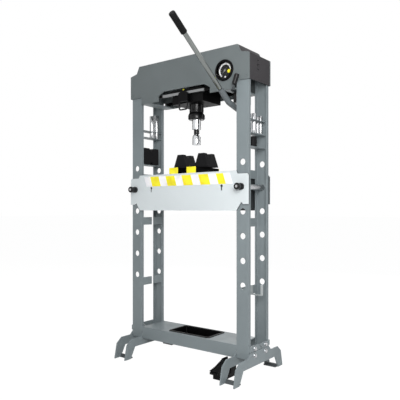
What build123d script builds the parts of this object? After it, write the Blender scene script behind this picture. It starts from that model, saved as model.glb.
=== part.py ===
from build123d import *
import math
import os

# Workshop press with a four-post frame, a pinned table, a sliding cylinder, a hand pump and a foot pump.
# Millimetres, +Z up, origin on the floor under the middle of the frame, front towards -Y.

# Frame
frame_width = 908
frame_depth = 222
post_width = 82
post_wall = 8
post_flange = 22
post_bottom = 115
post_top = 1832
pin_hole_diameter = 36
pin_hole_pitch = 140
pin_hole_count = 6
top_hole_height = 1228
pinned_hole = 1
strap_height = 50
strap_slit = 22
strap_heights = (1166, 882, 484)

# Head
head_plate_wall = 10
head_overhang = 8
head_top = 1896
head_end_bottom = 1690
head_middle_bottom = 1646
head_middle_inset = 92
head_top_inset = 70
shoulder_inset = 48
shoulder_inner_height = 1851
shoulder_end_height = 1838
window_centre = -13
window_inset = 158
window_side_height = 1680
window_chamfer = 45
window_top_height = 1704
cover_wall = 3
cover_hole_diameter = 11
cover_hole_pitch = 27
cover_hole_height = 1785
cover_hole_setback = 22
floor_plate_wall = 6
floor_plate_clearance = 5
rail_inset = 124
rail_height = 16
rail_depth = 15
rail_bottom = 1668
rail_edge = 1

# Cylinder, carriage and ram
slide_gap = 0.3
carriage_half = 120
carriage_bottom = 1615
carriage_side_gap = 2
carriage_stop_gap = 3
wing_height = 14
wing_gap = 3
handle_centre = -14
handle_block_half = 36
handle_block_bottom = 1622
handle_block_top = 1690
handle_block_shoulder = 1672
handle_block_top_half = 12
handle_bar_diameter = 9
handle_inset = 5
handle_drop = 50
handle_bend = 12
barrel_diameter = 90
barrel_bore = 64
barrel_bottom = 1567
barrel_top = 1790
barrel_cap = 22
barrel_edge = 5
collar_diameter = 106
collar_bottom = 1521
collar_flare = 18
collar_edge = 6
running_gap = 0.05
ram_diameter = 54
ram_bottom = 1459
ram_edge = 3
piston_height = 40
piston_top = 1750
neck_diameter = 34
neck_bottom = 1431
nose_diameter = 52
nose_bottom = 1364
nose_cone = 15
nose_bore = 30
nose_bore_depth = 45
set_screw_diameter = 10
set_screw_height = 1394
set_screw_stand = 2
set_screw_socket = 2.5

# Table, pins and blocks
table_wall = 12
table_overhang = 5
table_top = 1180
table_bottom = 952
table_shoulder_inset = 83
tab_top = 1161
tab_top_inset = 72
tab_bottom = 989
relief_top = 1002
relief_inset = 48
relief_end_inset = 35
tab_corner = 9
table_end_gap = 12
table_end_wall = 10
table_end_inset = 8
keyhole_inset = 183
keyhole_head_diameter = 18
keyhole_slot_width = 10
keyhole_length = 26
keyhole_top = 1095
tape_inset = 124
tape_top = 1168
tape_height = 62
tape_wall = 0.5
stripe_start_share = 0.0761
stripe_pitch_share = 0.194
stripe_width_share = 0.109
last_stripe_share = 0.0776
stripe_lean = 20
stripe_count = 5
pin_diameter = 34
pin_tail = 14
pin_chamfer = 4
knob_diameter = 39
knob_waist = 28
knob_length = 52
knob_flange = 16
knob_edge = 2
pin_stud_diameter = 10
pin_stud_stand = 1
bar_width = 71
bar_height = 38
bar_centres = (-87, 52)
bar_cap_wall = 3
vee_centres = (-85, 81)
vee_base = 108
vee_top = 45
vee_height = 86
vee_length = 108
vee_notch = 26
vee_shift = -6

# Base and feet
shelf_top = 188
shelf_wall = 6
shelf_lip_bottom = 114
tray_length = 302
tray_width = 166
tray_depth = 48
tray_wall = 4
tray_rim = 8
tray_corner = 10
base_end_height = 32
base_seam = 2
end_slit_low = 21
end_slit_high = -12
end_slit = 3
foot_wall = 8
foot_top = 154
foot_top_reach = 11
foot_knee_reach = 98
foot_knee_height = 127
foot_toe_reach = 139
foot_toe_height = 94
foot_tip_reach = 159
foot_heel_reach = 106
foot_arch_reach = 66
foot_arch_height = 72
sole_wall = 8
sole_flange = 24
sole_rise = 20
anchor_diameter = 10
bolt_head = 19
bolt_head_height = 9
washer_diameter = 26
washer_wall = 2
foot_bolt_half = 60
foot_bolt_height = 132
end_bolt_height = 171
head_screw_diameter = 10
head_screw_height = 4
head_screw_inset = 14
head_screw_level = 1713

# Hand pump and valve lever
pump_inset = 32
pump_width = 52
pump_end_gap = 52
pump_height = 66
pump_bore_depth = 56
pump_edge = 4
lug_wall = 8
lug_length = 46
lug_end = 18
pivot_diameter = 14
pivot_back = 30
pivot_drop = 58
pivot_end = 4
lever_boss_diameter = 36
lever_bend_forward = 170
lever_bend_rise = 44
lever_bend_radius = 60
socket_diameter = 34
socket_length = 105
rod_diameter = 25
rod_length = 500
rod_depth = 60
grip_diameter = 35
grip_length = 124
grip_cover = 110
grip_round = 7
lever_angle = 35.5
plunger_diameter = 18
plunger_forward = 58
plunger_gap = 1
plunger_height = 76
valve_inset = 8
valve_height = 1630
valve_stand = 21
spindle_diameter = 12
valve_block_size = 26
stem_diameter = 8
stem_length = 34
valve_grip_diameter = 28
valve_grip_length = 64
valve_grip_round = 9
valve_tilt = 20

# Pressure gauge
gauge_inset = 75
gauge_height = 1760
gauge_diameter = 122
gauge_bezel = 11
gauge_bezel_depth = 11
gauge_body_diameter = 104
gauge_body_depth = 28
gauge_back_wall = 20
gauge_edge = 3
gauge_fit = 0.5
dial_wall = 2
glass_wall = 2
glass_recess = 2
needle_length = 40
needle_tail = 12
needle_width = 4
needle_point = 1
needle_wall = 1.2
needle_hub_diameter = 12
needle_shaft_diameter = 6
needle_stand = 3
needle_rest_angle = 225

# Foot pump
pedal_inset = 64
pedal_width = 66
pedal_base_front = 204
pedal_base_back = 52
pedal_base_height = 26
pedal_cheek_height = 96
pedal_cheek_wall = 8
pedal_cheek_length = 54
pedal_pivot_diameter = 12
pedal_pivot_back = 92
pedal_pivot_height = 80
pedal_top_forward = 128
pedal_top_height = 98
pedal_tip_forward = 250
pedal_tip_height = 50
pedal_wall = 10
pedal_flare = 6
pedal_side_gap = 1
pedal_bracket_height = 22
tread_wall = 4
tread_length = 96
tread_inset = 8
tread_groove = 3
tread_groove_count = 6

# Racks and hook; each mandrel has its place as a share of the half depth, its diameter and its height
rack_wall = 4
rack_width = 64
left_rack_levels = (1486, 1442, 1258)
left_mandrels = ((0.33, 30, 153), (0.776, 33, 163))
right_rack_levels = (1478, 1398, 1320)
right_mandrels = ((-0.27, 24, 112), (0.117, 28, 120), (0.505, 20, 104), (0.854, 24, 114))
store_block_length = 140
store_block_height = 112
store_block_width = 26
store_block_notch = 20
store_block_gap = 3
sleeve_diameter = 46
sleeve_bore = 26
sleeve_height = 62
rack_fit = 0.5
hook_width = 25
hook_wall = 4
hook_plate = 56
hook_reach = 72
hook_rise = 62

overrun = 5

# Places that follow from the sizes
front_face = -frame_depth / 2
post_x = frame_width / 2 - post_width / 2
post_inner = frame_width / 2 - post_width
head_half = frame_width / 2 + head_overhang
head_front = front_face - head_plate_wall
head_middle_half = frame_width / 2 - head_middle_inset
head_top_half = frame_width / 2 - head_top_inset
shoulder_inner_half = frame_width / 2 - shoulder_inset
rail_half = frame_width / 2 - rail_inset
head_screw_half = frame_width / 2 - head_screw_inset
window_half = head_middle_half - window_inset
window_top_half = window_half - window_chamfer
carriage_travel = window_half - handle_block_half - carriage_stop_gap
floor_plate_start = carriage_half + carriage_travel + floor_plate_clearance
table_half = frame_width / 2 + table_overhang
table_shoulder_half = table_half - table_shoulder_inset
tab_top_half = table_half - tab_top_inset
relief_half = table_half - relief_inset
relief_end_half = table_half - relief_end_inset
table_end_half = post_inner - table_end_gap - table_end_wall
keyhole_half = table_half - keyhole_inset
tape_half = table_half - tape_inset
foot_top_half = frame_depth / 2 + foot_top_reach
foot_knee_half = frame_depth / 2 + foot_knee_reach
foot_toe_half = frame_depth / 2 + foot_toe_reach
foot_tip_half = frame_depth / 2 + foot_tip_reach
foot_heel_half = frame_depth / 2 + foot_heel_reach
foot_arch_half = frame_depth / 2 + foot_arch_reach
pump_centre = post_inner - pump_inset
pump_length = frame_depth - 2 * pump_end_gap
pump_bottom = head_middle_bottom - pump_height
pivot_height = pump_bottom - pivot_drop
valve_x = post_inner - valve_inset
valve_front = valve_stand - head_front
gauge_x = post_inner - gauge_inset
pedal_x = post_inner - pedal_inset
pin_height = top_hole_height - pinned_hole * pin_hole_pitch
table_front = front_face - table_wall
rail_top = rail_bottom + rail_height
rail_inner = frame_depth / 2 - rail_depth
pin_hole_heights = [top_hole_height - i * pin_hole_pitch for i in range(pin_hole_count)]
SIDES = (("left", -1), ("right", 1))
FACES = (("front", -1), ("back", 1))

os.makedirs("parts", exist_ok=True)


def save(part, name):
    part.label = name
    export_step(part, f"parts/{name}.step")


def facing_front(y):
    return Plane.XZ.offset(-y)


def facing_right(x):
    return Plane.YZ.offset(x)


# Four channel posts, web outwards, with pin holes and tabs that reach to the slit at mid-depth
def make_post(side, face):
    outer_y = face * frame_depth / 2
    tab_length = frame_depth / 2 - post_wall - strap_slit / 2
    with BuildPart() as post:
        with BuildSketch(Plane.XY.offset(post_bottom)):
            with Locations((side * post_x, outer_y - face * post_flange / 2)):
                Rectangle(post_width, post_flange)
            with Locations((side * post_x, outer_y - face * (post_wall + post_flange / 2))):
                Rectangle(post_width - 2 * post_wall, post_flange, mode=Mode.SUBTRACT)
        extrude(amount=post_top - post_bottom)
        with BuildSketch(facing_right(side * post_inner)):
            with Locations(*[(face * (strap_slit + tab_length) / 2, z) for z in strap_heights]):
                Rectangle(tab_length, strap_height)
        extrude(amount=side * post_wall)
        with BuildSketch(facing_front(outer_y)):
            with Locations(*[(side * post_x, z) for z in pin_hole_heights]):
                Circle(pin_hole_diameter / 2)
        extrude(amount=post_wall + overrun, both=True, mode=Mode.SUBTRACT)
    return post.part


for face_name, face in FACES:
    for side_name, side in SIDES:
        save(make_post(side, face), f"{face_name}_{side_name}_post")

# Head plates outside the posts: stepped top corners, and a window for the carriage in the front one
crown = [
    (0, head_top),
    (head_top_half, head_top),
    (shoulder_inner_half, shoulder_inner_height),
    (head_half, shoulder_end_height),
    (head_half, head_end_bottom),
]
skirt = [(head_middle_half, head_end_bottom), (head_middle_half, head_middle_bottom)]
window = [
    (window_centre - window_half, head_middle_bottom),
    (window_centre - window_half, window_side_height),
    (window_centre - window_top_half, window_top_height),
    (window_centre + window_top_half, window_top_height),
    (window_centre + window_half, window_side_height),
    (window_centre + window_half, head_middle_bottom),
]

for face_name, face in FACES:
    with BuildPart() as head_plate:
        with BuildSketch(facing_front(face * frame_depth / 2)):
            with BuildLine():
                Polyline(*crown, *skirt, (0, head_middle_bottom))
                mirror(about=Plane.YZ)
            make_face()
            if face_name == "front":
                Polygon(*window, align=None, mode=Mode.SUBTRACT)
                with Locations((gauge_x, gauge_height)):
                    Circle(gauge_body_diameter / 2 + gauge_fit, mode=Mode.SUBTRACT)
        extrude(amount=-face * head_plate_wall)
    save(head_plate.part, f"head_{face_name}_plate")

# Head cover, one folded sheet over the top and both ends, between the two plates
with BuildPart() as head_cover:
    with BuildSketch(facing_front(frame_depth / 2)):
        with BuildLine():
            Polyline(*crown)
            mirror(about=Plane.YZ)
            Line((head_half, head_end_bottom), (-head_half, head_end_bottom))
        make_face()
        offset(amount=-cover_wall, kind=Kind.INTERSECTION, mode=Mode.SUBTRACT)
        with Locations((0, head_end_bottom)):
            Rectangle(2 * (head_half - cover_wall), 2 * cover_wall, mode=Mode.SUBTRACT)
    extrude(amount=frame_depth)
    with BuildSketch(Plane.YZ):
        with Locations((-cover_hole_setback, cover_hole_height)):
            with GridLocations(cover_hole_pitch, cover_hole_pitch, 1, 3):
                Circle(cover_hole_diameter / 2)
    extrude(amount=frame_width, both=True, mode=Mode.SUBTRACT)
save(head_cover.part, "head_cover")

# Floor plates of the head, each side of the carriage opening
floor_plate_length = post_inner - floor_plate_start
with BuildPart() as floor_plates:
    with BuildSketch(Plane.XY.offset(head_middle_bottom)):
        with GridLocations(post_inner + floor_plate_start, 0, 2, 1):
            Rectangle(floor_plate_length, frame_depth)
    extrude(amount=floor_plate_wall)
save(floor_plates.part, "head_floor_plates")

# Bright rails on the inside of the head plates
with BuildPart() as carriage_rails:
    with BuildSketch(Plane.XY.offset(rail_bottom)):
        with GridLocations(0, frame_depth - rail_depth, 1, 2):
            Rectangle(2 * rail_half, rail_depth)
    extrude(amount=rail_height)
    chamfer(carriage_rails.edges().filter_by(Axis.X), rail_edge)
save(carriage_rails.part, "carriage_rails")

# Carriage: a block between the rails whose wings ride on them, bored for the cylinder
carriage_body_half = rail_inner - carriage_side_gap
wing_bottom = rail_top + slide_gap
wing_half = frame_depth / 2 - wing_gap
with BuildPart() as carriage_block:
    with BuildSketch(facing_right(-carriage_half)):
        with BuildLine():
            Polyline(
                (0, carriage_bottom),
                (carriage_body_half, carriage_bottom),
                (carriage_body_half, wing_bottom),
                (wing_half, wing_bottom),
                (wing_half, wing_bottom + wing_height),
                (0, wing_bottom + wing_height),
            )
            mirror(about=Plane.YZ)
        make_face()
    extrude(amount=2 * carriage_half)
    with BuildSketch(Plane.XY.offset(carriage_bottom)):
        Circle(barrel_diameter / 2)
    extrude(amount=wing_bottom + wing_height - carriage_bottom, mode=Mode.SUBTRACT)
save(carriage_block.part, "carriage_block")

# Handle block: it hangs on the carriage under the rail and stands up in the window, with a U-shaped bar
block_front = head_front
block_back = front_face - slide_gap
block_step = rail_bottom - slide_gap
with BuildPart() as handle_block:
    with BuildSketch(facing_right(handle_centre - handle_block_half)):
        Polygon(
            (-carriage_body_half, handle_block_bottom),
            (block_front, handle_block_bottom),
            (block_front, handle_block_top),
            (block_back, handle_block_top),
            (block_back, block_step),
            (-carriage_body_half, block_step),
            align=None,
        )
    extrude(amount=2 * handle_block_half)
    with BuildSketch(facing_front(block_front)):
        for side_name, side in SIDES:
            Polygon(
                (handle_centre + side * handle_block_top_half, handle_block_top),
                (handle_centre + side * handle_block_half, handle_block_top),
                (handle_centre + side * handle_block_half, handle_block_shoulder),
                align=None,
            )
    extrude(amount=block_front - block_back, mode=Mode.SUBTRACT)
save(handle_block.part, "handle_block")

handle_y = (block_front + block_back) / 2
handle_half = handle_block_half - handle_inset
handle_low = handle_block_bottom - handle_drop
with BuildPart() as carriage_handle:
    with BuildLine(facing_front(handle_y)) as handle_path:
        FilletPolyline(
            (handle_centre - handle_half, handle_block_bottom),
            (handle_centre - handle_half, handle_low),
            (handle_centre + handle_half, handle_low),
            (handle_centre + handle_half, handle_block_bottom),
            radius=handle_bend,
        )
    with BuildSketch(Plane(handle_path.wire() ^ 0)):
        Circle(handle_bar_diameter / 2)
    sweep()
save(carriage_handle.part, "carriage_handle")

# Cylinder barrel, closed at the top
with BuildPart() as cylinder_barrel:
    with BuildSketch(Plane.XY.offset(barrel_bottom)):
        Circle(barrel_diameter / 2)
        Circle(barrel_bore / 2, mode=Mode.SUBTRACT)
    extrude(amount=barrel_top - barrel_bottom)
    with BuildSketch(Plane.XY.offset(barrel_top - barrel_cap)):
        Circle(barrel_diameter / 2)
    extrude(amount=barrel_cap)
    chamfer(cylinder_barrel.faces().sort_by(Axis.Z)[-1].edges(), barrel_edge)
save(cylinder_barrel.part, "cylinder_barrel")

# Gland collar under the barrel, flared, guiding the ram
with BuildPart() as gland_collar:
    with BuildSketch(Plane.XZ):
        with BuildLine():
            Polyline(
                (ram_diameter / 2 + running_gap, collar_bottom),
                (collar_diameter / 2 - collar_edge, collar_bottom),
                (collar_diameter / 2, collar_bottom + collar_edge),
                (collar_diameter / 2, barrel_bottom - collar_flare),
                (barrel_diameter / 2, barrel_bottom),
                (ram_diameter / 2 + running_gap, barrel_bottom),
                close=True,
            )
        make_face()
    revolve(axis=Axis.Z)
save(gland_collar.part, "gland_collar")

# Ram: piston in the barrel, polished rod, black neck and a bored nose with a set screw
with BuildPart() as piston:
    with BuildSketch(Plane.XY.offset(piston_top - piston_height)):
        Circle(barrel_bore / 2 - running_gap)
    extrude(amount=piston_height)
save(piston.part, "piston")

with BuildPart() as ram_rod:
    with BuildSketch(Plane.XY.offset(ram_bottom)):
        Circle(ram_diameter / 2)
    extrude(amount=piston_top - piston_height - ram_bottom)
    chamfer(ram_rod.faces().sort_by(Axis.Z)[0].edges(), ram_edge)
save(ram_rod.part, "ram_rod")

with BuildPart() as ram_neck:
    with BuildSketch(Plane.XY.offset(neck_bottom)):
        Circle(neck_diameter / 2)
    extrude(amount=ram_bottom - neck_bottom)
save(ram_neck.part, "ram_neck")

with BuildPart() as ram_nose:
    with BuildSketch(Plane.XZ):
        with BuildLine():
            Polyline(
                (0, nose_bottom + nose_bore_depth),
                (nose_bore / 2, nose_bottom + nose_bore_depth),
                (nose_bore / 2, nose_bottom),
                (nose_diameter / 2, nose_bottom),
                (nose_diameter / 2, neck_bottom - nose_cone),
                (neck_diameter / 2, neck_bottom),
                (0, neck_bottom),
                close=True,
            )
        make_face()
    revolve(axis=Axis.Z)
    with BuildSketch(facing_right(nose_bore / 2 - overrun)):
        with Locations((0, set_screw_height)):
            Circle(set_screw_diameter / 2)
    extrude(amount=nose_diameter, mode=Mode.SUBTRACT)
save(ram_nose.part, "ram_nose")

with BuildPart() as nose_set_screw:
    with BuildSketch(facing_right(nose_bore / 2 + set_screw_stand)):
        with Locations((0, set_screw_height)):
            Circle(set_screw_diameter / 2)
    extrude(amount=(nose_diameter - nose_bore) / 2 - set_screw_stand)
    with BuildSketch(facing_right(nose_diameter / 2)):
        with Locations((0, set_screw_height)):
            RegularPolygon(set_screw_socket, 6)
    extrude(amount=-2 * set_screw_socket, mode=Mode.SUBTRACT)
save(nose_set_screw.part, "nose_set_screw")

# Table plates outside the posts, with tabs, corner reliefs, pin holes and keyholes
table_outline = [
    (0, table_top),
    (table_shoulder_half, table_top),
    (tab_top_half, tab_top),
    (table_half - tab_corner, tab_top),
    (table_half, tab_top - tab_corner),
    (table_half, tab_bottom),
    (relief_end_half, tab_bottom),
    (relief_half, relief_top),
    (table_shoulder_half, table_bottom),
    (0, table_bottom),
]
for face_name, face in FACES:
    with BuildPart() as table_plate:
        with BuildSketch(facing_front(face * frame_depth / 2)):
            with BuildLine():
                Polyline(*table_outline)
                mirror(about=Plane.YZ)
            make_face()
            with GridLocations(2 * post_x, 0, 2, 1):
                with Locations((0, pin_height)):
                    Circle(pin_hole_diameter / 2, mode=Mode.SUBTRACT)
            with GridLocations(2 * keyhole_half, 0, 2, 1):
                with Locations((0, keyhole_top)):
                    Circle(keyhole_head_diameter / 2, mode=Mode.SUBTRACT)
                with Locations((0, keyhole_top - keyhole_length / 2)):
                    Rectangle(keyhole_slot_width, keyhole_length, mode=Mode.SUBTRACT)
        extrude(amount=-face * table_wall)
    save(table_plate.part, f"table_{face_name}_plate")

# Table ends: cross plates between the two table plates, just inside the posts
with BuildPart() as table_ends:
    for side_name, side in SIDES:
        with BuildSketch(facing_right(side * table_end_half)):
            with Locations((0, (table_top + table_bottom) / 2)):
                Rectangle(frame_depth, table_top - table_bottom - 2 * table_end_inset)
        extrude(amount=side * table_end_wall)
save(table_ends.part, "table_ends")

# Hazard tape on the front plate: leaning yellow stripes and the white fields between them
def leaning_field(left, right):
    low = tape_top - tape_height
    return [(left, tape_top), (right, tape_top), (right + stripe_lean, low), (left + stripe_lean, low)]


tape_length = 2 * tape_half
stripe_start = stripe_start_share * tape_length - tape_half
stripe_lefts = [stripe_start + i * stripe_pitch_share * tape_length for i in range(stripe_count)]
stripe_shares = [stripe_width_share] * (stripe_count - 1) + [last_stripe_share]
stripe_widths = [share * tape_length for share in stripe_shares]
stripe_rights = [left + width for left, width in zip(stripe_lefts, stripe_widths)]
with BuildPart() as tape_stripes:
    with BuildSketch(facing_front(table_front)):
        for left, right in zip(stripe_lefts, stripe_rights):
            Polygon(*leaning_field(left, right), align=None)
    extrude(amount=tape_wall)
save(tape_stripes.part, "tape_stripes")

white_lefts = [-tape_half] + stripe_rights
white_rights = stripe_lefts + [tape_half]
with BuildPart() as tape_band:
    with BuildSketch(facing_front(table_front)):
        for left, right in zip(white_lefts, white_rights):
            Polygon(*leaning_field(left, right), align=None)
    extrude(amount=tape_wall)
save(tape_band.part, "tape_band")

# Table pins with black spool knobs
pin_back = frame_depth / 2 + table_wall + pin_tail
for side_name, side in SIDES:
    pin_axis = Plane.XZ.offset(-table_front).shift_origin((side * post_x, table_front, pin_height))
    with BuildPart() as table_pin:
        with BuildSketch(pin_axis):
            Circle(pin_diameter / 2)
        extrude(amount=table_front - pin_back)
        chamfer(table_pin.faces().sort_by(Axis.Y)[-1].edges(), pin_chamfer)
        with BuildSketch(pin_axis):
            Circle(pin_stud_diameter / 2)
        extrude(amount=knob_length + pin_stud_stand)
    save(table_pin.part, f"{side_name}_table_pin")

    with BuildPart() as pin_knob:
        with BuildSketch(pin_axis):
            Circle(knob_diameter / 2)
        extrude(amount=knob_flange)
        with BuildSketch(pin_axis):
            Circle(knob_waist / 2)
        extrude(amount=knob_length)
        with BuildSketch(pin_axis.offset(knob_length - knob_flange)):
            Circle(knob_diameter / 2)
        extrude(amount=knob_flange)
        chamfer(pin_knob.faces().sort_by(Axis.Y)[0].edges(), knob_edge)
        with BuildSketch(pin_axis):
            Circle(pin_stud_diameter / 2)
        extrude(amount=knob_length, mode=Mode.SUBTRACT)
    save(pin_knob.part, f"{side_name}_pin_knob")

# Bars across the table with yellow end caps, and a V-block on each
bar_half = frame_depth / 2 + table_wall - bar_cap_wall
vee_bottom = table_top + bar_height
with BuildPart() as table_bars:
    with BuildSketch(Plane.XY.offset(table_top)):
        with Locations(*[(bar_x, 0) for bar_x in bar_centres]):
            Rectangle(bar_width, 2 * bar_half)
    extrude(amount=bar_height)
save(table_bars.part, "table_bars")

with BuildPart() as bar_caps:
    with BuildSketch(Plane.XY.offset(table_top)):
        with Locations(*[(bar_x, 0) for bar_x in bar_centres]):
            with GridLocations(0, 2 * bar_half + bar_cap_wall, 1, 2):
                Rectangle(bar_width, bar_cap_wall)
    extrude(amount=bar_height)
save(bar_caps.part, "bar_caps")

with BuildPart() as v_blocks:
    with BuildSketch(facing_front(vee_shift - vee_length / 2)):
        for vee_x in vee_centres:
            Polygon(
                (vee_x - vee_base / 2, vee_bottom),
                (vee_x + vee_base / 2, vee_bottom),
                (vee_x + vee_top / 2, vee_bottom + vee_height),
                (vee_x - vee_top / 2, vee_bottom + vee_height),
                align=None,
            )
    extrude(amount=-vee_length)
    with BuildSketch(Plane.YZ):
        Polygon(
            (vee_shift - vee_notch, vee_bottom + vee_height),
            (vee_shift + vee_notch, vee_bottom + vee_height),
            (vee_shift, vee_bottom + vee_height - vee_notch),
            align=None,
        )
    extrude(amount=frame_width / 2, both=True, mode=Mode.SUBTRACT)
save(v_blocks.part, "v_blocks")

# Base shelf: a folded sheet with lips, notched round the feet and opened for the tray
with BuildPart() as base_shelf:
    with BuildSketch(facing_right(-post_inner)):
        with BuildLine():
            Polyline(
                (0, shelf_top),
                (frame_depth / 2, shelf_top),
                (frame_depth / 2, shelf_lip_bottom),
                (frame_depth / 2 - shelf_wall, shelf_lip_bottom),
                (frame_depth / 2 - shelf_wall, shelf_top - shelf_wall),
                (0, shelf_top - shelf_wall),
            )
            mirror(about=Plane.YZ)
        make_face()
    extrude(amount=2 * post_inner)
    with BuildSketch(Plane.XY.offset(shelf_lip_bottom)):
        with GridLocations(2 * post_inner, 0, 2, 1):
            Rectangle(2 * foot_wall, frame_depth)
    extrude(amount=foot_top - shelf_lip_bottom, mode=Mode.SUBTRACT)
    with BuildSketch(Plane.XY.offset(shelf_top)):
        RectangleRounded(tray_length, tray_width, tray_corner)
    extrude(amount=-shelf_wall, mode=Mode.SUBTRACT)
save(base_shelf.part, "base_shelf")

# Black tool tray let into the shelf
with BuildPart() as tool_tray:
    with BuildSketch(Plane.XY.offset(shelf_top)):
        RectangleRounded(tray_length + 2 * tray_rim, tray_width + 2 * tray_rim, tray_corner + tray_rim)
    extrude(amount=tray_wall)
    with BuildSketch(Plane.XY.offset(shelf_top)):
        RectangleRounded(tray_length, tray_width, tray_corner)
    extrude(amount=-tray_depth)
    with BuildSketch(Plane.XY.offset(shelf_top + tray_wall)):
        RectangleRounded(tray_length - 2 * tray_wall, tray_width - 2 * tray_wall, tray_corner - tray_wall)
    extrude(amount=-tray_depth, mode=Mode.SUBTRACT)
save(tool_tray.part, "tool_tray")

# Feet: arched side plates, joined at each heel by an angle bar with an anchor hole
foot_outline = [
    (0, foot_top),
    (foot_top_half, foot_top),
    (foot_knee_half, foot_knee_height),
    (foot_toe_half, foot_toe_height),
    (foot_tip_half, 0),
    (foot_heel_half, 0),
    (foot_arch_half, foot_arch_height),
    (0, foot_arch_height),
]
foot_planes = (frame_width / 2, post_inner - foot_wall)
for side_name, side in SIDES:
    with BuildPart() as foot_plates:
        for inside_x in foot_planes:
            with BuildSketch(facing_right(side * inside_x)):
                with BuildLine():
                    Polyline(*foot_outline)
                    mirror(about=Plane.YZ)
                make_face()
            extrude(amount=side * foot_wall)
    save(foot_plates.part, f"{side_name}_foot_plates")

sole_lean = sole_rise * (foot_heel_half - foot_arch_half) / foot_arch_height
sole_inner = foot_heel_half - sole_flange
anchor_half = foot_heel_half - sole_flange / 2
with BuildPart() as foot_soles:
    for side_name, side in SIDES:
        with BuildSketch(facing_right(side * post_inner)):
            with BuildLine():
                Polyline(
                    (sole_inner, 0),
                    (foot_heel_half + sole_wall, 0),
                    (foot_heel_half + sole_wall - sole_lean, sole_rise),
                    (foot_heel_half - sole_lean, sole_rise),
                    (foot_heel_half - sole_lean, sole_wall),
                    (sole_inner, sole_wall),
                    close=True,
                )
            make_face()
            mirror(about=Plane.YZ)
        extrude(amount=side * post_width)
    with BuildSketch(Plane.XY):
        with GridLocations(2 * post_x, 2 * anchor_half, 2, 2):
            Circle(anchor_diameter / 2)
    extrude(amount=sole_wall, mode=Mode.SUBTRACT)
save(foot_soles.part, "foot_soles")

# End plates of the base over the feet, split by a slanted slit, and the bolts that hold them
end_bottom = foot_top + base_seam
end_top = end_bottom + base_end_height
with BuildPart() as base_ends:
    for side_name, side in SIDES:
        with BuildSketch(facing_right(side * frame_width / 2)):
            with Locations((0, end_bottom + base_end_height / 2)):
                Rectangle(frame_depth, base_end_height)
            with BuildLine():
                Polyline(
                    (end_slit_low - end_slit, end_bottom),
                    (end_slit_low + end_slit, end_bottom),
                    (end_slit_high + end_slit, end_top),
                    (end_slit_high - end_slit, end_top),
                    close=True,
                )
            make_face(mode=Mode.SUBTRACT)
        extrude(amount=side * foot_wall)
save(base_ends.part, "base_ends")

bolt_plane_x = frame_width / 2 + foot_wall
with BuildPart() as base_bolts:
    for side_name, side in SIDES:
        for level in (foot_bolt_height, end_bolt_height):
            with BuildSketch(facing_right(side * bolt_plane_x)):
                with Locations((-foot_bolt_half, level), (foot_bolt_half, level)):
                    Circle(washer_diameter / 2)
            extrude(amount=side * washer_wall)
            with BuildSketch(facing_right(side * (bolt_plane_x + washer_wall))):
                with Locations((-foot_bolt_half, level), (foot_bolt_half, level)):
                    RegularPolygon(bolt_head / 2, 6, major_radius=False)
            extrude(amount=side * (bolt_head_height - washer_wall))
save(base_bolts.part, "base_bolts")

with BuildPart() as head_screws:
    for face_name, face in FACES:
        with BuildSketch(facing_front(face * (frame_depth / 2 + head_plate_wall))):
            with Locations((-head_screw_half, head_screw_level), (head_screw_half, head_screw_level)):
                Circle(head_screw_diameter / 2)
        extrude(amount=-face * head_screw_height)
save(head_screws.part, "head_screws")

# Hand pump under the head: a bored body, two lugs and the pivot pin of the lever
pump_top = head_middle_bottom
with BuildPart() as pump_body:
    with BuildSketch(Plane.XY.offset(pump_bottom)):
        with Locations((pump_centre, 0)):
            Rectangle(pump_width, pump_length)
    extrude(amount=pump_top - pump_bottom)
    chamfer(pump_body.edges().filter_by(Axis.Z), pump_edge)
    with BuildSketch(Plane.XY.offset(pump_bottom)):
        with Locations((pump_centre, pivot_back - plunger_forward)):
            Circle(plunger_diameter / 2 + running_gap)
    extrude(amount=pump_bore_depth, mode=Mode.SUBTRACT)
    with BuildSketch(Plane.XY.offset(pump_bottom)):
        with Locations((pump_centre, pivot_back)):
            with GridLocations(pump_width - lug_wall, 0, 2, 1):
                Rectangle(lug_wall, lug_length - 2 * pump_edge)
    extrude(amount=pivot_height - lug_end - pump_bottom)
    with BuildSketch(facing_right(pump_centre)):
        with Locations((pivot_back, pivot_height)):
            Circle(pivot_diameter / 2)
    extrude(amount=pump_width, both=True, mode=Mode.SUBTRACT)
save(pump_body.part, "pump_body")

pivot_half = pump_width / 2 + pivot_end
with BuildPart() as lever_pivot_pin:
    with BuildSketch(facing_right(pump_centre - pivot_half)):
        with Locations((pivot_back, pivot_height)):
            Circle(pivot_diameter / 2)
    extrude(amount=2 * pivot_half)
save(lever_pivot_pin.part, "lever_pivot_pin")

# Pump lever: a bent socket turning on the pin, a polished rod and a grip, all in one upright plane
lean = math.radians(lever_angle)
bend_y = pivot_back - lever_bend_forward
bend_z = pivot_height + lever_bend_rise
lever_plane = facing_right(pump_centre)
aim_y = -math.cos(lean)
aim_z = math.sin(lean)
socket_end = (bend_y + aim_y * socket_length, bend_z + aim_z * socket_length)
lever_aim = Vector(0, aim_y, aim_z)
lever_bend_point = Vector(pump_centre, bend_y, bend_z)
boss_width = pump_width - 2 * lug_wall - 2 * slide_gap

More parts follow.
